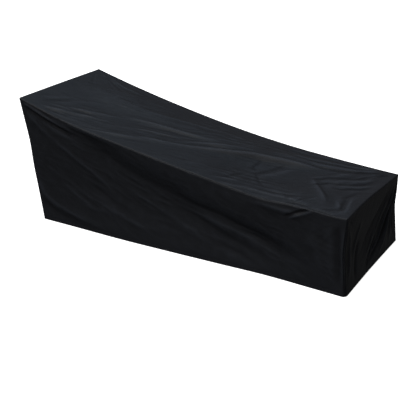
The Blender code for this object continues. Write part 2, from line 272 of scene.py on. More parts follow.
def shares_along(length, cell, from_start=True):
    """Shares along a panel, close together at a seam and a cell apart elsewhere."""
    steps = [0.0]
    size = SEAM_CELL
    while size < cell:
        steps.append(steps[-1] + size)
        size *= SEAM_GROWTH
    close = np.array(steps) / length
    first = close if from_start else close[:1]
    last = 1.0 - close[::-1]
    count = int(round((last[0] - first[-1]) * length / cell))
    middle = np.linspace(first[-1], last[0], count + 1)[1:-1]
    return np.concatenate((first, middle, last))


def sampled(line, count=60):
    """Points close together on a smooth line through the given ones, and its length."""
    points = np.array(line)
    gaps = np.linalg.norm(np.diff(points, axis=0), axis=1)
    shares = np.concatenate(((0.0,), np.cumsum(gaps))) / gaps.sum()
    at = np.linspace(0.0, 1.0, count)
    return np.stack([smooth_line(shares, points[:, k], at) for k in (0, 1)], axis=1), gaps.sum()


def nearest_on(line, points):
    """For each point, its signed distance from a line, left positive, and the share along it."""
    starts, ends = line[:-1], line[1:]
    best = np.full(len(points), np.inf)
    signed = np.zeros(len(points))
    along = np.zeros(len(points))
    for k, (start, end) in enumerate(zip(starts, ends)):
        run = end - start
        part = np.clip(((points - start) @ run) / (run @ run), 0.0, 1.0)
        away = points - start - part[:, None] * run
        distance = np.einsum("ij,ij->i", away, away)
        closer = distance < best
        best = np.where(closer, distance, best)
        side = np.sign(run[0] * away[:, 1] - run[1] * away[:, 0])
        signed = np.where(closer, side * np.sqrt(distance), signed)
        along = np.where(closer, (k + part) / len(starts), along)
    return signed, along


CREST = 0.0025  # rounding of a sharp crease
SHARP_WIDTH = 0.62  # a sharp crease falls away this much sooner than a soft swell
FOLD_REACH = 4.0  # a fold is felt this many half widths away


def fold_lift(fold, points):
    """How far one fold lifts the cloth at each point of the panel."""
    line, _ = sampled(fold.line)
    reach = FOLD_REACH * max(fold.left, fold.right)
    felt = np.all((points > line.min(axis=0) - reach) & (points < line.max(axis=0) + reach), axis=1)
    signed, along = nearest_on(line, points[felt])
    width = np.where(signed > 0.0, fold.left, fold.right)
    far = np.abs(signed) / width
    soft = np.exp(-far * far)
    sharp = np.exp(-(np.sqrt(signed**2 + CREST**2) - CREST) / (SHARP_WIDTH * width))
    across = soft * (1.0 - fold.crisp) + sharp * fold.crisp
    lift = np.zeros(len(points))
    lift[felt] = across * rise_and_fall(along, fold.starts, fold.ends)
    return fold.height * lift


RIDGE_STEEP = 2.4  # how steeply a fine ridge falls on both sides of its line
RIDGE_LEVEL = 0.5  # the height of a ridge that lies level with the cloth
RIDGE_THERE = (0.45, 1.7)  # how much of it there is on the whole, and how much it comes and goes
RIDGE_SLOW = (0.8, 0.45)  # how slowly it comes and goes, along it and across
PULL_LENGTH = 0.22  # length of one ridge of a Pull, and of a Fan
FAN_LENGTH = 0.20
PULL_FADE = 0.15  # share of its line over which a Pull rises, and dies away
FAN_FADE = 0.12  # the same over a Fan's angle
FAN_START = 0.35  # share of its reach at which a Fan has risen to its height
FELT = 0.01  # a share of the height that is too small to work out


def noise_at(x, y, seed):
    """Smooth noise at each pair of places, about -1 to 1."""
    return np.array([noise.noise(Vector(place)) for place in np.broadcast(x, y, seed)])


def creases(along, across, seed):
    """Sharp little ridges that run along, each coming and going, about -0.5 to 0.5."""
    ridge = 1.0 - RIDGE_STEEP * np.abs(noise_at(along, across, seed))
    slow = noise_at(along * RIDGE_SLOW[0], across * RIDGE_SLOW[1], seed + 9.0)
    return (ridge - RIDGE_LEVEL) * np.clip(RIDGE_THERE[0] + RIDGE_THERE[1] * slow, 0.0, 1.0)


def rise_and_fall(share, start, end):
    return eased(share / start) * eased((1.0 - share) / end)


def pull_lift(pull, points, seed):
    """The fine lines of one Pull."""
    line, length = sampled(pull.line)
    signed, along = nearest_on(line, points)
    close = np.exp(-((signed / pull.spread) ** 2)) * rise_and_fall(along, PULL_FADE, PULL_FADE)
    felt = close > FELT
    lift = np.zeros(len(points))
    run = along[felt] * length / PULL_LENGTH
    lift[felt] = creases(run, signed[felt] / pull.spacing, seed) * close[felt]
    return pull.height * lift


def fan_lift(fan, points, seed):
    """The fine lines of one Fan."""
    away = points - np.array(fan.corner)
    radius = np.hypot(away[:, 0], away[:, 1])
    angle = np.degrees(np.arctan2(away[:, 1], away[:, 0])) % 360.0
    turn = ((angle - fan.first) % 360.0) / ((fan.last - fan.first) % 360.0)
    close = rise_and_fall(turn, FAN_FADE, FAN_FADE) * np.exp(-((radius / fan.reach) ** 2))
    close = close * eased(radius / (FAN_START * fan.reach)) * (turn < 1.0)
    felt = close > FELT
    lift = np.zeros(len(points))
    lift[felt] = creases(radius[felt] / FAN_LENGTH, turn[felt] * fan.lines, seed) * close[felt]
    return fan.height * lift


WANDER = 0.008  # how far a crease strays from its line
WANDER_LENGTH = 0.22  # and over what length
noise.seed_set(263)  # without it the creases would stray another way in each run
CRUMPLE_LENGTH = 0.14  # size of the small uneven creases, along them and across
CRUMPLE_WIDTH = 0.05
CRUMPLE_SWELL = 0.45  # what they take from a soft swell, and from a crease
CRUMPLE_CREASE = 0.30
CREASE_SIZE = 1.7  # how much closer together the creases lie than the swells
CREASE_LEVEL = 0.6  # the height that lies level with the panel


def wandering(points, seed):
    """The points moved a little, so that no crease runs as if ruled."""
    places = [Vector((x / WANDER_LENGTH, y / WANDER_LENGTH, seed)) for x, y in points]
    return points + WANDER * np.array([noise.noise_vector(place)[:2] for place in places])


def crumple(points, seed, angle):
    """Small uneven creases, longer one way, about -1 to 1. angle is the way they run."""
    turn = np.array(((math.cos(angle), math.sin(angle)), (-math.sin(angle), math.cos(angle))))
    x, y = (points @ turn.T / (CRUMPLE_LENGTH, CRUMPLE_WIDTH)).T
    crease = 1.0 - 2.0 * np.abs(noise_at(x * CREASE_SIZE, y * CREASE_SIZE, seed + 7.0))
    return CRUMPLE_SWELL * noise_at(x, y, seed) + CRUMPLE_CREASE * (crease - CREASE_LEVEL)


FINE_FADE = 0.014  # a fine crease dies away this near a seam
BROAD_FADE = 0.040  # and a broad fold this near
FADE_WIDTHS = 1.4  # between the two, a fold dies away over this many of its half widths


def in_metres(row, *names):
    """A table's row with the lengths of these names turned into metres."""
    return row._replace(**{name: np.array(getattr(row, name)) * MM for name in names})


def all_lifts(points, edge, folds, pulls, fans, crumpling, angle, seed):
    """The folds, pull lines and creases of one panel together, at each of its places.

    edge is the distance of each place from the nearest seam, where all of them die away.
    """
    folds = [in_metres(fold, "line", "height", "left", "right") for fold in folds]
    pulls = [in_metres(pull, "line", "spread", "spacing", "height") for pull in pulls]
    fans = [in_metres(fan, "corner", "reach", "height") for fan in fans]
    places = wandering(points, seed)
    lift = crumpling * crumple(places, seed + 4.0, angle)
    lift = lift + sum(pull_lift(pull, places, seed + 30.0 + k) for k, pull in enumerate(pulls))
    lift = lift + sum(fan_lift(fan, places, seed + 60.0 + k) for k, fan in enumerate(fans))
    lift = lift * eased(edge / FINE_FADE)
    for fold in folds:
        fade = min(max(FADE_WIDTHS * max(fold.left, fold.right), FINE_FADE), BROAD_FADE)
        lift = lift + fold_lift(fold, places) * eased(edge / fade)
    return lift


def pucker(distance_along, distance_in, seed):
    """Ripples that the thread draws up beside a seam."""
    ripple = noise_at(distance_along.ravel() / PUCKER_LENGTH * 2.0, seed, 3.1)
    close = np.exp(-((distance_in / PUCKER_REACH) ** 2))
    return SEAM_PUCKER * ripple.reshape(distance_along.shape) * close


Seam = namedtuple("Seam", "toward distance radius groove groove_width")


def over_seams(points, own, seams):
    """Rolls the panel's border over its seams, to meet the next panel's halfway round.

    own is the panel's outward direction. Each seam gives the next panel's outward direction, and
    for every point its distance from the seam, the radius there and how far the thread draws it in.
    Returns the points and the outward direction of the rolled surface at each.
    """
    reach = [np.clip(seam.radius - seam.distance, 0.0, None) for seam in seams]
    radius = np.full(points.shape[:-1], TIGHT_EDGE)
    for seam, depth in zip(seams, reach):
        radius = np.where(depth > 0.0, np.maximum(radius, seam.radius), radius)
    stand = radius[..., None] * own
    for seam, depth in zip(seams, reach):
        stand = stand + depth[..., None] * seam.toward
    out = stand / np.linalg.norm(stand, axis=-1, keepdims=True)
    rolled = points - stand + radius[..., None] * out
    for seam in seams:
        groove = seam.groove * np.exp(-((seam.distance / seam.groove_width) ** 2))
        rolled = rolled - GROOVE_SHARE * groove[..., None] * (own + seam.toward)
    return rolled, out


def cloth_object(name, points, flat, crest):
    """A panel from a grid of points, seen from outside with the first index running right.

    flat is each point's place on the flat cloth, in metres, kept as its UV map. crest is 1 on the
    crest of a small fold and -1 in a hollow, kept for the material, which paints the crests paler
    as rub wear and painted highlight and the hollows darker as painted shade.
    """
    columns, rows = points.shape[:2]
    index = np.arange(columns * rows).reshape(columns, rows)
    quads = np.stack((index[:-1, :-1], index[1:, :-1], index[1:, 1:], index[:-1, 1:]), axis=-1)
    mesh = bpy.data.meshes.new(name)
    mesh.from_pydata(points.reshape(-1, 3).tolist(), [], quads.reshape(-1, 4).tolist())
    uv = mesh.uv_layers.new(name="cloth")
    corner_vertices = np.empty(len(mesh.loops), dtype=np.int32)
    mesh.loops.foreach_get("vertex_index", corner_vertices)
    uv.data.foreach_set("uv", flat.reshape(-1, 2)[corner_vertices].ravel())
    attribute = mesh.attributes.new("crest", "FLOAT", "POINT")
    attribute.data.foreach_set("value", crest.ravel())
    mesh.shade_smooth()
    mesh.update()
    panel = bpy.data.objects.new(name, mesh)
    bpy.context.scene.collection.objects.link(panel)
    thickness = panel.modifiers.new("thickness", "SOLIDIFY")
    thickness.thickness = CLOTH
    thickness.offset = -1.0
    return panel


CREST_REACH = 5  # points to each side that a small fold is measured against
CREST_HEIGHT = 0.0022


def crests(lift, crest_wear_and_highlight):
    """How far the cloth stands out from what is round it: up to the given strength where it stands
    out, which the material paints paler as rub wear and painted highlight, and -1 where it lies in,
    which it paints darker as painted shade.
    """
    level = lift
    for axis in (0, 1):
        count = level.shape[axis]
        sums = np.insert(np.cumsum(level, axis=axis), 0, 0.0, axis=axis)
        last = np.minimum(np.arange(count) + CREST_REACH + 1, count)
        first = np.maximum(np.arange(count) - CREST_REACH, 0)
        spans = (last - first).reshape((-1, 1) if axis == 0 else (1, -1))
        level = (np.take(sums, last, axis=axis) - np.take(sums, first, axis=axis)) / spans
    height = np.clip((lift - level) / CREST_HEIGHT, -1.0, 1.0)
    return np.where(height > 0.0, crest_wear_and_highlight * height, height)


TOP_FLAT = (0.775, 2.145)  # width and length as cut
TOP_CREST_WEAR_AND_HIGHLIGHT = 1.0  # how much paler its crests are painted, as rub wear and painted highlight
TOP_CRUMPLE = 0.0018
TOP_CRUMPLE_ANGLE = math.radians(27)

u, v = np.meshgrid(
    shares_along(TOP_FLAT[1], CELL_ALONG), shares_along(TOP_FLAT[0], CELL_ACROSS), indexing="ij"
)
top_grid = patch(
    lambda s: top_seam("near", s),
    lambda s: top_seam("far", s),
    lambda s: top_seam("head", s),
    lambda s: top_seam("foot", s),
    u,
    v,
)
head, foot = u * TOP_FLAT[1], (1.0 - u) * TOP_FLAT[1]
near, far = v * TOP_FLAT[0], (1.0 - v) * TOP_FLAT[0]
edge = np.minimum(np.minimum(head, foot), np.minimum(near, far))
lift = all_lifts(
    top_grid[..., :2].reshape(-1, 2), edge.ravel(), TOP_FOLDS, TOP_PULLS, TOP_FANS, TOP_CRUMPLE,
    TOP_CRUMPLE_ANGLE, 1.5,
).reshape(u.shape)
ripples = pucker(head, near, 1.0) + pucker(head, far, 2.0)
ripples = ripples + pucker(near, head, 3.0) + pucker(near, foot, 4.0)
top_grid = top_grid + (lift + ripples * eased(edge / PUCKER_START))[..., None] * OUTWARD["top"]
seams = [
    Seam(OUTWARD[name], distance, top_radius(name, share), SEAM_GROOVE, GROOVE_WIDTH)
    for name, distance, share in zip(
        ("near", "far", "head", "foot"), (near, far, head, foot), (u, u, v, v)
    )
]
top_grid, _ = over_seams(top_grid, OUTWARD["top"], seams)
flat = np.stack((u * TOP_FLAT[1], v * TOP_FLAT[0]), axis=-1)
top_cloth = cloth_object("top_cloth", top_grid, flat, crests(lift, TOP_CREST_WEAR_AND_HIGHLIGHT))

# The thread. A row of stitches runs beside each seam, on the panel that the seam is felled towards.
STITCH_IN = 0.0065  # from the seam to the row
STITCH_PITCH = 0.0042
STITCH_LENGTH = 0.0035
THREAD = 0.0007
THREAD_SLANT = 0.11  # each stitch lies a little askew to its row, in radians

Face = namedtuple("Face", "points along up")


def on_face(face, along, up):
    """A line over a panel's outer face, at shares along and up it, and the way out of it there."""
    along, up = np.broadcast_arrays(along, up)
    columns, rows = face.points.shape[:2]
    i = np.interp(along, face.along, np.arange(columns))
    j = np.interp(up, face.up, np.arange(rows))
    left = np.minimum(i.astype(int), columns - 2)
    low = np.minimum(j.astype(int), rows - 2)
    part_i, part_j = (i - left)[:, None], (j - low)[:, None]
    way_out = np.cross(np.gradient(face.points, axis=0), np.gradient(face.points, axis=1))
    found = []
    for values in (face.points, way_out):
        lower = values[left, low] * (1.0 - part_i) + values[left + 1, low] * part_i
        upper = values[left, low + 1] * (1.0 - part_i) + values[left + 1, low + 1] * part_i
        found.append(lower * (1.0 - part_j) + upper * part_j)
    line, out = found
    return line, out / np.linalg.norm(out, axis=1, keepdims=True)


def seam_rows(face, size, edges):
    """The rows beside some edges of a panel, whose size is its length along and its height."""
    in_along, in_up = STITCH_IN / size[0], STITCH_IN / size[1]
    along = np.linspace(in_along, 1.0 - in_along, int(size[0] / STITCH_PITCH))
    up = np.linspace(in_up, 1.0 - in_up, int(size[1] / STITCH_PITCH))
    rows = {
        "lower": (along, in_up),
        "upper": (along, 1.0 - in_up),
        "left": (in_along, up),
        "right": (1.0 - in_along, up),
    }
    return [on_face(face, *rows[edge]) for edge in edges]


def set_inputs(tree, node, inputs):
    """Gives each of a node's inputs a value, or joins it to the output given."""
    for name, value in inputs.items():
        if isinstance(value, bpy.types.NodeSocket):
            tree.links.new(value, node.inputs[name])
        else:
            node.inputs[name].default_value = value


def added(tree, kind, inputs=None, take=0, **settings):
    """Adds a node with its settings and inputs, and returns the output to take from it."""
    node = tree.nodes.new(kind)
    for name, value in settings.items():
        setattr(node, name, value)
    set_inputs(tree, node, inputs or {})
    return node.outputs[take]


def ramp(tree, value, *stops):
    """A colour that goes with a value from one stop, a place and its colour, to the next."""
    colour = added(tree, "ShaderNodeValToRGB", {"Fac": value})
    for element, (place, shade) in zip(colour.node.color_ramp.elements, stops):
        element.position = place
        element.color = (*shade, 1.0)
    return colour


def new_sockets(group, way, kind, defaults):
    """Gives a node group its inputs or outputs of one kind, each with its default or None."""
    for name, default in defaults.items():
        socket = group.interface.new_socket(name, in_out=way, socket_type=f"NodeSocket{kind}")
        if default is not None:
            socket.default_value = default


def thread_material():
    """Black sewing thread, twisted, and a little shinier than the cloth."""
    material = bpy.data.materials.new("black thread")
    material.use_nodes = True
    tree = material.node_tree
    add = partial(added, tree)
    place = add("ShaderNodeTexCoord", take="Object")
    twist = add("ShaderNodeTexNoise", {"Vector": place, "Scale": 1400.0, "Detail": 1.0}, "Fac")
    strands = {"Strength": 0.4, "Distance": 0.0001, "Height": twist}
    dark, pale = (0.0090, 0.0095, 0.0110), (0.0190, 0.0200, 0.0230)
    shader = {
        "Base Color": ramp(tree, twist, (0.0, dark), (1.0, pale)),
        "Roughness": 0.42,
        "Specular IOR Level": 0.25,
        "Normal": add("ShaderNodeBump", strands, "Normal"),
    }
    set_inputs(tree, tree.nodes["Principled BSDF"], shader)
    return material


def stitching_group():
    """Sets a stitch at every pitch along lines, lying on the cloth that "lean" points out of."""
    group = bpy.data.node_groups.new("row of stitches", "GeometryNodeTree")
    sizes = {"Pitch": STITCH_PITCH, "Length": STITCH_LENGTH, "Thread": THREAD}
    new_sockets(group, "INPUT", "Geometry", {"Lines": None})
    new_sockets(group, "INPUT", "Float", {**sizes, "Slant": THREAD_SLANT})
    new_sockets(group, "INPUT", "Int", {"Seed": 5})
    new_sockets(group, "INPUT", "Material", {"Material": None})
    new_sockets(group, "OUTPUT", "Geometry", {"Stitches": None})
    inside = group.nodes.new("NodeGroupInput").outputs
    add = partial(added, group)
    curve = add("GeometryNodeMeshToCurve", {"Mesh": inside["Lines"]})
    spacing = {"Curve": curve, "Length": inside["Pitch"]}
    spaced = add("GeometryNodeResampleCurve", spacing, mode="LENGTH")

    # One stitch is a short thick thread that tapers into the cloth at both ends.
    bead = add("GeometryNodeMeshUVSphere", {"Segments": 6, "Rings": 4, "Radius": 0.5}, "Mesh")
    lying = (0.0, math.pi / 2.0, 0.0)
    lain = add("GeometryNodeTransform", {"Geometry": bead, "Rotation": lying})
    thread = inside["Thread"]
    size = add("ShaderNodeCombineXYZ", {"X": inside["Length"], "Y": thread, "Z": thread})
    drawn = add("GeometryNodeTransform", {"Geometry": lain, "Scale": size})

    # It lies along its row and flat on the cloth, a little askew.
    lean = add(
        "GeometryNodeInputNamedAttribute", {"Name": "lean"}, "Attribute", data_type="FLOAT_VECTOR"
    )
    outwards = add("FunctionNodeAlignRotationToVector", {"Vector": lean}, axis="Z")
    along = add(
        "FunctionNodeAlignRotationToVector",
        {"Rotation": outwards, "Vector": add("GeometryNodeInputTangent")},
        axis="X",
        pivot_axis="Z",
    )
    slants = {"Min": 0.3, "Max": 1.3, "Seed": inside["Seed"]}
    uneven = add("FunctionNodeRandomValue", slants, "Value", data_type="FLOAT")
    askew = add("ShaderNodeMath", {0: uneven, 1: inside["Slant"]}, operation="MULTIPLY")
    turn = add("FunctionNodeAxisAngleToRotation", {"Axis": (0.0, 0.0, 1.0), "Angle": askew})
    turning = {"Rotation": along, "Rotate By": turn}
    turned = add("FunctionNodeRotateRotation", turning, rotation_space="LOCAL")
    placing = {"Points": spaced, "Instance": drawn, "Rotation": turned}
    placed = add("GeometryNodeInstanceOnPoints", placing)
    real = add("GeometryNodeRealizeInstances", {"Geometry": placed})
    sewn = {"Geometry": real, "Material": inside["Material"]}
    finished = add("GeometryNodeSetMaterial", sewn)
    set_inputs(group, group.nodes.new("NodeGroupOutput"), {"Stitches": finished})
    return group


black_thread = thread_material()
stitching = stitching_group()


def stitches(name, rows):
    """A piece of thread: stitches along rows, each given as its points and the way out at them."""
    mesh = bpy.data.meshes.new(name)
    points = np.concatenate([line for line, _ in rows])
    starts = np.cumsum([0] + [len(line) for line, _ in rows])
    edges = [(k, k + 1) for first, end in zip(starts, starts[1:]) for k in range(first, end - 1)]
    mesh.from_pydata(points.tolist(), edges, [])
    lean = mesh.attributes.new("lean", "FLOAT_VECTOR", "POINT")
    lean.data.foreach_set("vector", np.concatenate([out for _, out in rows]).ravel())
    piece = bpy.data.objects.new(name, mesh)
    bpy.context.scene.collection.objects.link(piece)
    sewing = piece.modifiers.new("stitching", "NODES")
    sewing.node_group = stitching
    for item in stitching.interface.items_tree:
        if item.name == "Material":
            sewing[item.identifier] = black_thread
    bpy.context.view_layer.update()
    finished = piece.evaluated_get(bpy.context.evaluated_depsgraph_get())
    plain = bpy.data.meshes.new_from_object(finished)
    piece.modifiers.remove(sewing)
    piece.data = plain
    plain.name = name
    bpy.data.meshes.remove(mesh)
    plain.shade_smooth()
    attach(piece, "root")
    return piece


top_face = Face(top_grid, u[:, 0], v[0])
top_stitches = stitches(
    "top_seam_stitches",
    seam_rows(top_face, (TOP_FLAT[1], TOP_FLAT[0]), ("lower", "upper", "left", "right")),
)


def weave_group():
    """The threads of a plain weave, and the slow unevenness of a coated cloth."""
    group = bpy.data.node_groups.new("coated weave", "ShaderNodeTree")
    new_sockets(group, "INPUT", "Float", {"Thread": 0.0006, "Cloud size": 0.09})
    new_sockets(group, "OUTPUT", "Float", {"Threads": None, "Clouds": None, "Grain": None})
    inside = group.nodes.new("NodeGroupInput").outputs
    add = partial(added, group)
    place = add("ShaderNodeTexCoord", take="Object")
    flat = add("ShaderNodeUVMap", uv_map="cloth")
    split = add("ShaderNodeSeparateXYZ", {0: flat}).node.outputs
    waves = []
    for axis in ("X", "Y"):
        count = add("ShaderNodeMath", {0: split[axis], 1: inside["Thread"]}, operation="DIVIDE")
        turn = add("ShaderNodeMath", {0: count, 1: math.pi}, operation="MULTIPLY")
        waves.append(add("ShaderNodeMath", {0: turn}, operation="SINE"))
    close = add("ShaderNodeMath", {0: 1.0, 1: inside["Cloud size"]}, operation="DIVIDE")
    clouds = {"Vector": place, "Scale": close, "Detail": 3.0}
    grain = {"Vector": place, "Scale": 900.0, "Detail": 2.0}
    results = {
        "Threads": add("ShaderNodeMath", {0: waves[0], 1: waves[1]}, operation="MULTIPLY"),
        "Clouds": add("ShaderNodeTexNoise", clouds, "Fac"),
        "Grain": add("ShaderNodeTexNoise", grain, "Fac"),
    }
    set_inputs(group, group.nodes.new("NodeGroupOutput"), results)
    return group


CREST_WEAR_AND_HIGHLIGHT_COLOUR = (0.0242, 0.0275, 0.0350, 1.0)  # on the crests of the folds: partly rub wear, partly a painted highlight
HOLLOW_SHADE_COLOUR = (0.0078, 0.0085, 0.0108, 1.0)  # painted shade in the hollows between them


def cloth_material(name):
    """Black coated cloth: dull, a little blue, with crests painted paler, partly as rub wear and
    partly as painted highlight, and hollows painted darker as painted shade.
    """
    material = bpy.data.materials.new(name)
    material.use_nodes = True
    tree = material.node_tree
    add = partial(added, tree)
    weave = tree.nodes.new("ShaderNodeGroup")
    weave.node_tree = weave_group()
    clouds = weave.outputs["Clouds"]
    plain = ramp(tree, clouds, (0.30, (0.0114, 0.0125, 0.0156)), (0.72, (0.0134, 0.0147, 0.0184)))
    crest = add("ShaderNodeAttribute", take="Fac", attribute_name="crest")
    # The crests are painted paler, partly as rub wear and partly as painted highlight.
    crest_wear_and_highlight = {"Factor": crest, "A": plain, "B": CREST_WEAR_AND_HIGHLIGHT_COLOUR}
    pale = add("ShaderNodeMix", crest_wear_and_highlight, "Result", data_type="RGBA")
    # The hollows are painted darker, as painted shade.
    hollow = add("ShaderNodeMapRange", {"Value": crest, "From Min": 0.0, "From Max": -1.0})
    deep = {"Factor": hollow, "A": pale, "B": HOLLOW_SHADE_COLOUR}
    rough = {"Value": clouds, "To Min": 0.36, "To Max": 0.44}
    threads = {"Strength": 0.35, "Distance": 0.0001, "Height": weave.outputs["Threads"]}
    grain = {"Strength": 0.15, "Distance": 0.0002, "Height": weave.outputs["Grain"]}
    grain["Normal"] = add("ShaderNodeBump", threads, "Normal")
    shader = {
        "Base Color": add("ShaderNodeMix", deep, "Result", data_type="RGBA"),
        "Roughness": add("ShaderNodeMapRange", rough),
        "Specular IOR Level": 0.12,
        "Normal": add("ShaderNodeBump", grain, "Normal"),
    }
    set_inputs(tree, tree.nodes["Principled BSDF"], shader)
    return material


black_cloth = cloth_material("black coated cloth")
top_cloth.data.materials.append(black_cloth)
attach(top_cloth, "root")
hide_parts("top_panel")


# ------------------------------------------------------------------------------------------------
# Long sides. Each is cut as a tall wedge, from the high head edge to the low foot edge, and hangs
# from its seam with the top. The pull from the head corner draws long troughs down towards the
# hem at the foot. The hem is turned up inside and sewn.

HEM_TURN = 0.022  # height of the turned-up hem
HEM_LAYERS = 0.0028  # from the outer face to the face of the turned-up layer
HEM_STITCH = 0.019  # height of its row of stitches
HEM_GROOVE = 0.0006  # how far they draw the cloth in, over a width, and how much they pucker it
HEM_GROOVE_WIDTH = 0.0035
HEM_PUCKER = 1.3
HEM_FOLDS = 0.25  # the share of a fold's height that the stiff hem takes
HEM_STIFF = 0.10  # and the height over which that fades
HEM_ENDS = 0.004  # the stitches stop this far from the panel's ends
TURN_POINTS = 5  # points up the turned-up layer, and the angles of those round its fold
TURN_ANGLES = (135.0, 90.0, 45.0, 0.0)
HEM_CLEAR = 1.3  # the next points start this many radii of that fold above the floor

# How the upright seams and the hem wander, as shares up from the hem and along from the head or
# the near side. round is how much wider an upright seam's edge is than a tight one, and drawn is
# how much deeper it is drawn in.
UprightRow = namedtuple("UprightRow", "share out round drawn")
UPRIGHTS = {
    "head": [
        UprightRow(0.0, 0, 4, 0), UprightRow(0.25, -4, 2, 0), UprightRow(0.45, -5, 1, 0),
        UprightRow(0.66, -14, 0, 0), UprightRow(0.84, -7, 0, 0), UprightRow(1.0, 0, 0, 0),
    ],
    "foot": [
        UprightRow(0.0, 0, 22, 0), UprightRow(0.12, -5, 14, 1.6), UprightRow(0.3, -9, 9, 4.5),
        UprightRow(0.55, -13, 7, 6), UprightRow(0.8, -4, 4, 5), UprightRow(1.0, 0, 0, 0),
    ],
}
DRAWN_WIDTH = 0.007
HemRow = namedtuple("HemRow", "share out")
HEM_WAVES = {
    "near": [
        HemRow(0.0, 0), HemRow(0.12, 2), HemRow(0.29, 7), HemRow(0.46, 1), HemRow(0.62, -8),
        HemRow(0.77, -17), HemRow(0.9, -8), HemRow(1.0, 0),
    ],
    "far": [
        HemRow(0.0, 0), HemRow(0.22, -7), HemRow(0.47, 7), HemRow(0.73, -8), HemRow(0.95, 5),
        HemRow(1.0, 0),
    ],
    "head": [
        HemRow(0.0, 0), HemRow(0.5, 6), HemRow(1.0, 0),
    ],
    "foot": [
        HemRow(0.0, 0), HemRow(0.45, -4), HemRow(1.0, 0),
    ],
}
NEAR_FOLDS = [
    # The long trough that leaves the top edge and dies away towards the foot.
    Fold(((-800, 655), (-580, 548), (-372, 449), (-202, 390), (-35, 346), (127, 304), (340, 262)),
         -31, 70, 170, 0.15),
    Fold(((-100, 372), (127, 304), (316, 272), (485, 226), (692, 168), (900, 100)),
         -20, 36, 78, 0.28),
    # The side hangs in at half height and flares out again to its hem.
    Fold(((-960, 360), (-550, 270), (-100, 210), (350, 170), (900, 150)),
         -14, 110, 120, 0.1, 0.25, 0.3),
    # The ridge under it and the shallower trough that runs below.
    Fold(((20, 290), (254, 234), (409, 205), (561, 157), (720, 110)), 5, 18, 28, 0.5),
    Fold(((-100, 310), (0, 280), (159, 232), (332, 168), (487, 122), (720, 55)), -10, 28, 48, 0.2),
    Fold(((200, 150), (400, 95), (620, 30)), -6, 18, 30, 0.4, 0.4, 0.3),
    Fold(((340, 235), (560, 188), (800, 110)), -4, 12, 18, 0.5, 0.4, 0.3),
    # Ridges that sweep off the leaning head edge and down to the hem.
    Fold(((-860, 545), (-769, 500), (-662, 438), (-511, 352), (-360, 250)), 5, 20, 14, 0.7, 0.3),
    Fold(((-975, 330), (-948, 250), (-840, 138), (-727, 95), (-541, 52), (-330, 20)),
         7.5, 40, 26, 0.55, 0.2, 0.4),
    Fold(((-930, 160), (-806, 75), (-617, 25)), -3, 22, 24, 0.3, 0.3, 0.4),
    Fold(((-360, 330), (-172, 271), (-38, 225), (93, 172), (280, 90)), 5, 24, 28, 0.5),
    Fold(((-520, 210), (-300, 140), (-50, 80)), 4, 26, 22, 0.4),
    Fold(((-620, 330), (-420, 230), (-200, 150)), -4, 24, 30, 0.3),
    Fold(((-800, 300), (-620, 190), (-450, 120)), 3, 14, 14, 0.6),
    # Pull lines along the seam from the head corner.
    Fold(((-1035, 722), (-930, 676), (-817, 634), (-660, 588)), 6, 10, 13, 0.7, 0.12, 0.4),
    Fold(((-1030, 700), (-900, 645), (-740, 590), (-580, 550)), -8, 12, 16, 0.6, 0.12, 0.4),
    Fold(((-1020, 660), (-900, 580), (-740, 500)), 4, 18, 18, 0.4, 0.2, 0.45),
    Fold(((-980, 698), (-860, 652), (-740, 620)), 4.5, 8, 9, 0.6, 0.3, 0.4),
    Fold(((-860, 640), (-750, 590), (-660, 535)), -5, 12, 12, 0.5, 0.35, 0.4),
    # The upper edge rolls out in a lip where the top is slack, and tucks in beside the lip's end.
    Fold(((160, 446), (400, 408), (620, 384), (840, 378)), 2.5, 24, 60, 0.0, 0.35, 0.25),
    Fold(((440, 420), (579, 404), (679, 391), (730, 384), (800, 381)),
         7.5, 24, 22, 0.35, 0.6, 0.25),
    Fold(((680, 358), (735, 382), (784, 402), (835, 428)), -8, 8, 8, 0.7, 0.25, 0.08),
    Fold(((700, 350), (750, 369), (799, 390), (850, 417)), 4.5, 6, 8, 0.6, 0.35, 0.1),
    # It falls in beside the upright seam at the foot.
    Fold(((985, 390), (1000, 260), (1010, 130), (1020, 20)), -6, 26, 30, 0.2, 0.2, 0.3),
    Fold(((800, 330), (880, 220), (950, 60)), 3, 50, 50, 0.2),
]
NEAR_PULLS = [
    Pull(((-860, 580), (-450, 440), (-50, 310), (400, 200), (900, 60)), 110, 30, 2.4),
    Pull(((-950, 420), (-600, 260), (-200, 130), (300, 20)), 110, 34, 2.2),
    Pull(((-1020, 710), (-700, 590), (-400, 490)), 45, 20, 2.2),
]
NEAR_FANS = [
    Fan((-1055, 743), 500, 306, 348, 7, 2.6),
    Fan((1030, 417), 220, 186, 262, 7, 2.2),
    Fan((-620, 620), 300, 310, 352, 6, 2.2),
    Fan((1040, 20), 260, 110, 172, 7, 1.6),
]
FAR_FOLDS = [
    Fold(((-900, 655), (-620, 540), (-280, 410), (20, 320), (280, 250)), -28, 160, 72, 0.15),
    Fold(((-100, 385), (160, 320), (380, 262), (620, 222), (900, 150)), -18, 70, 38, 0.35, 0.4),
    Fold(((-960, 260), (-800, 170), (-550, 100), (-200, 40)), 9, 24, 44, 0.6, 0.25),
    Fold(((20, 260), (340, 170), (740, 70)), 8, 34, 24, 0.5),
    Fold(((-660, 470), (-440, 340), (-200, 200)), 6, 22, 28, 0.6, 0.3),
    Fold(((-460, 240), (-200, 170), (100, 70)), -8, 36, 28, 0.4),
    Fold(((300, 120), (540, 70), (800, 20)), -6, 30, 20, 0.4),
    Fold(((-1020, 740), (-900, 680), (-700, 600)), 5, 14, 12, 0.7, 0.15, 0.4),
    Fold(((-1020, 690), (-880, 600), (-660, 500)), -6, 18, 16, 0.5, 0.2, 0.45),
    Fold(((990, 370), (840, 300), (660, 270)), 6, 14, 16, 0.6, 0.2, 0.4),
    Fold(((1000, 340), (920, 240), (840, 80)), -6, 20, 20, 0.5, 0.2, 0.4),
]
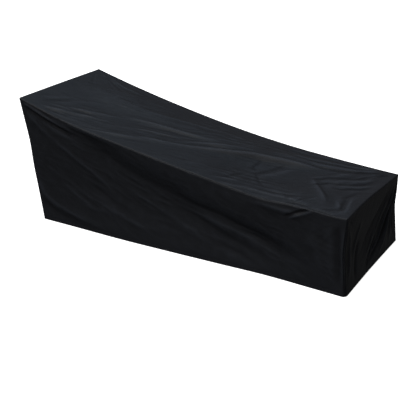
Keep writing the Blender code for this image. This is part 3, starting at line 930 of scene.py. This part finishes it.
FAR_PULLS = [
    Pull(((-900, 620), (-450, 450), (0, 310), (450, 200), (920, 100)), 110, 32, 2.4),
    Pull(((-940, 400), (-550, 230), (-100, 120), (400, 40)), 110, 34, 2.2),
]
FAR_FANS = [
    Fan((-1046, 760), 500, 304, 348, 7, 2.6),
    Fan((1032, 406), 300, 186, 262, 7, 2.4),
    Fan((-930, 20), 300, 8, 60, 7, 1.6),
]
ROWS_HEIGHT = 0.60  # a height that gives every side and end the same rows, so that they meet
SIDE_CREST_WEAR_AND_HIGHLIGHT = 0.66  # the crests of the sides and ends are painted less pale than the top's, as rub wear and painted highlight
SIDE_CRUMPLE = 0.0027
SIDE_CRUMPLE_ANGLE = math.radians(-24)


def hem_line(edge, share):
    out = MM * from_table(HEM_WAVES[edge], "out", share)[..., None] * OUTWARD[edge]
    return between_corners(edge, hem_corner, share) + out


def upright_seam(end, side, share):
    """Points of the seam at a corner. share is counted up from the hem."""
    corner = f"{end}_{side}"
    out = MM * from_table(UPRIGHTS[end], "out", share)[..., None] * OUTWARD[end]
    share = share[..., None]
    return hem_corner(corner) * (1.0 - share) + top_corner(corner) * share + out


def upright_edge(end, toward, distance, v):
    """The seam at a corner, as over_seams takes it."""
    rows = UPRIGHTS[end]
    radius = TIGHT_EDGE + MM * from_table(rows, "round", v)
    drawn = np.clip(MM * from_table(rows, "drawn", v), 0.0, None)
    width = np.where(drawn > 0.0, DRAWN_WIDTH, GROOVE_WIDTH)
    return Seam(OUTWARD[toward], distance, radius, SEAM_GROOVE + drawn, width)


def with_hem(points, out):
    """Adds the turned-up hem inside the lower edge, with its fold at the floor."""
    radius = HEM_LAYERS / 2.0
    turns = [(HEM_LAYERS, height) for height in np.linspace(HEM_TURN, radius, TURN_POINTS)]
    for angle in np.radians(TURN_ANGLES):
        turns.append((radius * (1.0 - math.cos(angle)), radius * (1.0 - math.sin(angle))))
    rows = []
    for depth, height in turns:
        outer = [[np.interp(height, line[:, 2], line[:, k]) for k in (0, 1)] for line in points]
        outer = np.insert(np.array(outer), 2, height, axis=1)
        rows.append(outer - depth * out[:, 0])
    first = int(np.searchsorted(points[0, :, 2], radius * HEM_CLEAR))
    return np.concatenate((np.stack(rows, axis=1), points[:, first:]), axis=1), first


def upright_panel(name, own, left, right, creasing, seed, sewn=()):
    """A side or an end, seen from outside, with the seams round it and the hem below.

    own, left and right name it and the panels that it meets there, and creasing is what all_lifts
    takes. sewn names the upright seams that are felled towards it. Returns it and its stitches.
    """
    long_one = own in SIDES
    width, cell = (TOP_FLAT[1], CELL_ALONG) if long_one else (TOP_FLAT[0], CELL_ACROSS)
    corners = [(other, own) if long_one else (own, other) for other in (left, right)]
    u, v = np.meshgrid(
        shares_along(width, cell),
        shares_along(ROWS_HEIGHT, CELL_ACROSS, from_start=False),
        indexing="ij",
    )

    def along_top(share):
        """The share along the seam with the top, counted from the head or the near side."""
        return share if own in ("near", "foot") else 1.0 - share

    points = patch(
        lambda s: hem_line(own, along_top(s)),
        lambda s: top_seam(own, along_top(s)),
        lambda s: upright_seam(*corners[0], s),
        lambda s: upright_seam(*corners[1], s),
        u,
        v,
    )
    heights = (points[:, -1, 2] - points[:, 0, 2])[:, None]
    upper, above_hem = (1.0 - v) * heights, v * heights
    to_left, to_right = u * width, (1.0 - u) * width
    edge = np.minimum(np.minimum(to_left, to_right), upper)
    measured = points[..., (0, 2) if long_one else (1, 2)].reshape(-1, 2)
    lift = all_lifts(measured, edge.ravel(), *creasing, seed).reshape(u.shape)
    lift = lift * (HEM_FOLDS + (1.0 - HEM_FOLDS) * eased(above_hem / HEM_STIFF))
    from_stitches = above_hem - HEM_STITCH
    ripples = (
        pucker(to_left, upper, seed)
        + pucker(above_hem, to_left, seed + 1.0)
        + pucker(above_hem, to_right, seed + 2.0)
        + HEM_PUCKER * pucker(to_left, np.abs(from_stitches), seed + 3.0)
        - HEM_GROOVE * np.exp(-((from_stitches / HEM_GROOVE_WIDTH) ** 2))
    )
    points = points + (lift + ripples * eased(edge / PUCKER_START))[..., None] * OUTWARD[own]
    seams = [
        Seam(OUTWARD["top"], upper, top_radius(own, along_top(u)), SEAM_GROOVE, GROOVE_WIDTH),
        upright_edge(corners[0][0], left, to_left, v),
        upright_edge(corners[1][0], right, to_right, v),
    ]
    points, out = over_seams(points, OUTWARD[own], seams)
    grid, first = with_hem(points, out)
    added_rows = grid.shape[1] - (v.shape[1] - first)
    hem_crest = np.zeros((len(u), added_rows))
    crest = np.concatenate((hem_crest, crests(lift, SIDE_CREST_WEAR_AND_HIGHLIGHT)[:, first:]), axis=1)
    hem_up = np.broadcast_to(np.linspace(-HEM_TURN, 0.0, added_rows), hem_crest.shape)
    hem_flat = np.stack((np.broadcast_to(to_left[:, :1], hem_up.shape), hem_up), axis=-1)
    flat = np.concatenate((hem_flat, np.stack((to_left, above_hem), axis=-1)[:, first:]), axis=1)
    panel = cloth_object(f"{name}_cloth", grid, flat, crest)
    panel.data.materials.append(black_cloth)
    face = Face(points, u[:, 0], v[0])
    along_hem = np.linspace(HEM_ENDS, width - HEM_ENDS, int(width / STITCH_PITCH)) / width
    hem_share = np.interp(along_hem, face.along, HEM_STITCH / heights[:, 0])
    rows = seam_rows(face, (width, ROWS_HEIGHT), sewn) + [on_face(face, along_hem, hem_share)]
    return panel, stitches(f"{name}_stitches", rows)


NEAR_CREASING = (NEAR_FOLDS, NEAR_PULLS, NEAR_FANS, SIDE_CRUMPLE, SIDE_CRUMPLE_ANGLE)
FAR_CREASING = (FAR_FOLDS, FAR_PULLS, FAR_FANS, SIDE_CRUMPLE, SIDE_CRUMPLE_ANGLE)
for name, own, left, right, creasing, seed, node in (
    ("near_side", "near", "head", "foot", NEAR_CREASING, 21.0, "side_panel_near"),
    ("far_side", "far", "foot", "head", FAR_CREASING, 31.0, "side_panel_far"),
):
    panel, sewing = upright_panel(name, own, left, right, creasing, seed, ("left", "right"))
    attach(panel, "root")
    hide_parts(node)


# ------------------------------------------------------------------------------------------------
# Head and foot ends. The tall head end leans in from the top edge to the floor. The short foot end
# is drawn into a fan of folds by the pull on its far top corner.

HEAD_FOLDS = [
    Fold(((-350, 690), (-200, 430), (-100, 100)), -8, 45, 34, 0.4, 0.3, 0.4),
    Fold(((350, 700), (200, 450), (20, 120)), -9, 38, 50, 0.4, 0.3, 0.4),
    Fold(((-360, 560), (-280, 330), (-250, 30)), 6, 30, 24, 0.5, 0.3, 0.3),
    Fold(((340, 520), (270, 300), (260, 20)), 7, 24, 30, 0.5, 0.3, 0.3),
    Fold(((100, 420), (80, 220), (120, 10)), 5, 34, 34, 0.4, 0.4, 0.3),
    Fold(((-320, 700), (0, 650), (320, 715)), -5, 40, 50, 0.1, 0.3, 0.3),
]
HEAD_PULLS = [
    Pull(((-300, 680), (-220, 400), (-160, 50)), 90, 30, 2),
    Pull(((300, 690), (220, 400), (180, 50)), 90, 30, 2),
]
HEAD_FANS = [
    Fan((-385, 743), 340, 276, 350, 9, 2.6),
    Fan((385, 760), 340, 190, 264, 9, 2.6),
]
FOOT_FOLDS = [
    Fold(((352, 350), (321, 265), (239, 182), (141, 118), (-23, 58), (-181, 28)),
         -13, 16, 30, 0.6, 0.2),
    Fold(((340, 380), (262, 300), (190, 222), (118, 169), (45, 118), (-68, 86), (-150, 60)),
         10, 16, 13, 0.7, 0.2),
    Fold(((345, 330), (289, 225), (208, 118), (128, 50), (50, 8)), 7, 13, 15, 0.6, 0.25, 0.3),
    Fold(((300, 375), (130, 250), (-19, 160), (-115, 110), (-210, 80)), 5, 22, 18, 0.5, 0.3),
    Fold(((280, 385), (60, 275), (-120, 185), (-230, 130)), -6, 22, 22, 0.4, 0.3),
    Fold(((362, 340), (320, 190), (335, 30)), -7, 14, 17, 0.6, 0.25, 0.3),
    Fold(((355, 320), (290, 150), (265, 20)), 7, 16, 16, 0.6, 0.3, 0.3),
    Fold(((-170, 350), (-235, 270), (-290, 150)), 5, 16, 16, 0.6, 0.3, 0.4),
    Fold(((-190, 250), (-240, 160), (-262, 10)), -6, 20, 20, 0.4, 0.3, 0.3),
    Fold(((-360, 360), (-330, 240), (-345, 60)), 6, 16, 20, 0.3, 0.3, 0.3),
]
FOOT_PULLS = [
    Pull(((340, 370), (160, 220), (0, 90), (-120, 0)), 90, 26, 4),
]
FOOT_FANS = [
    Fan((385, 406), 400, 204, 268, 8, 6),
    Fan((-385, 417), 200, 276, 350, 7, 2.8),
]
END_CRUMPLE = 0.0013
HEAD_CREASING = (HEAD_FOLDS, HEAD_PULLS, HEAD_FANS, END_CRUMPLE, math.radians(80))
FOOT_CREASING = (FOOT_FOLDS, FOOT_PULLS, FOOT_FANS, END_CRUMPLE, math.radians(50))
HEAD_FLAT = (0.79, 0.79)
FOOT_FLAT = (0.79, 0.445)

for name, own, left, right, creasing, seed, node, flat in (
    ("head_end", "head", "far", "near", HEAD_CREASING, 41.0, "head_panel", HEAD_FLAT),
    ("foot_end", "foot", "near", "far", FOOT_CREASING, 51.0, "foot_panel", FOOT_FLAT),
):
    panel, sewing = upright_panel(name, own, left, right, creasing, seed)
    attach(panel, "root")
    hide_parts(node)


# ------------------------------------------------------------------------------------------------
# Studio. A plain white floor that glows, so that it stays white all round, and the camera at the
# photograph's place. The soft lights are a large one above and behind the head end, a weak broad
# one on the near side, a narrow bluish one behind, and two faint low ones behind and at the foot.

FLOOR_HALF = 30.0
floor_mesh = bpy.data.meshes.new("floor")
floor_corners = ((-1, -1), (1, -1), (1, 1), (-1, 1))
floor_corners = [(x * FLOOR_HALF, y * FLOOR_HALF, 0.0) for x, y in floor_corners]
floor_mesh.from_pydata(floor_corners, [], [(0, 1, 2, 3)])
floor = bpy.data.objects.new("floor", floor_mesh)
bpy.context.scene.collection.objects.link(floor)
floor_finish = bpy.data.materials.new("pale floor")
floor_finish.use_nodes = True
floor_tree = floor_finish.node_tree
pale_floor = {
    "Base Color": (0.90, 0.90, 0.90, 1.0),
    "Roughness": 0.9,
    "Specular IOR Level": 0.1,
    "Emission Color": (1.0, 1.0, 1.0, 1.0),
    "Emission Strength": 0.9,
}
set_inputs(floor_tree, floor_tree.nodes["Principled BSDF"], pale_floor)
floor_mesh.materials.append(floor_finish)
floor.visible_glossy = False
floor.visible_diffuse = False

# Each soft light: the way to it, the cosine at which it has faded out, its strength and colour.
Light = namedtuple("Light", "towards edge strength colour")
LIGHTS = [
    Light((-0.455, -0.084, 0.887), 0.746, 3.476, (1.0, 1.0, 1.0)),
    Light((-0.032, -0.988, 0.150), 0.387, 0.35, (1.0, 1.0, 1.0)),
    Light((-0.327, 0.560, 0.761), 0.941, 0.791, (0.51, 0.74, 1.0)),
    Light((-0.25, 0.86, 0.44), 0.950, 0.06, (1.0, 0.84, 0.90)),
    Light((0.55, 0.82, 0.10), 0.500, 0.010, (1.0, 1.0, 1.0)),
]
DIM_ROOM = (0.0685, 0.0685, 0.0685)  # what comes from everywhere else

world = bpy.data.worlds.new("studio")
bpy.context.scene.world = world
world.use_nodes = True
studio = world.node_tree
add = partial(added, studio)
direction = add("ShaderNodeTexCoord", take="Generated")


def light_from(light):
    """The glow of one broad soft light."""
    facing = {0: direction, 1: Vector(light.towards).normalized()}
    facing = add("ShaderNodeVectorMath", facing, "Value", operation="DOT_PRODUCT")
    lobe = {"Value": facing, "From Min": light.edge, "From Max": 1.0, "To Max": light.strength}
    glow = add("ShaderNodeMapRange", lobe, interpolation_type="SMOOTHSTEP")
    tinted = {0: light.colour, "Scale": glow}
    return add("ShaderNodeVectorMath", tinted, operation="SCALE")


all_light = DIM_ROOM
for light in LIGHTS:
    both = {0: light_from(light), 1: all_light}
    all_light = add("ShaderNodeVectorMath", both, operation="ADD")
seen = add("ShaderNodeLightPath", take="Is Camera Ray")
backdrop = {"Factor": seen, "A": all_light, "B": (1.0, 1.0, 1.0, 1.0)}
backdrop = add("ShaderNodeMix", backdrop, "Result", data_type="RGBA")
set_inputs(studio, studio.nodes["Background"], {"Color": backdrop, "Strength": 1.0})

camera_data = bpy.data.cameras.new("camera")
camera_data.lens = 72.3
camera_data.sensor_width = 36.0
camera = bpy.data.objects.new("camera", camera_data)
bpy.context.scene.collection.objects.link(camera)
camera.location = (2.3479, -3.9799, 2.0669)
camera.rotation_euler = (math.radians(90.0 - 22.866), 0.0, math.radians(30.369))
bpy.context.scene.camera = camera
bpy.context.scene.view_settings.view_transform = "Standard"
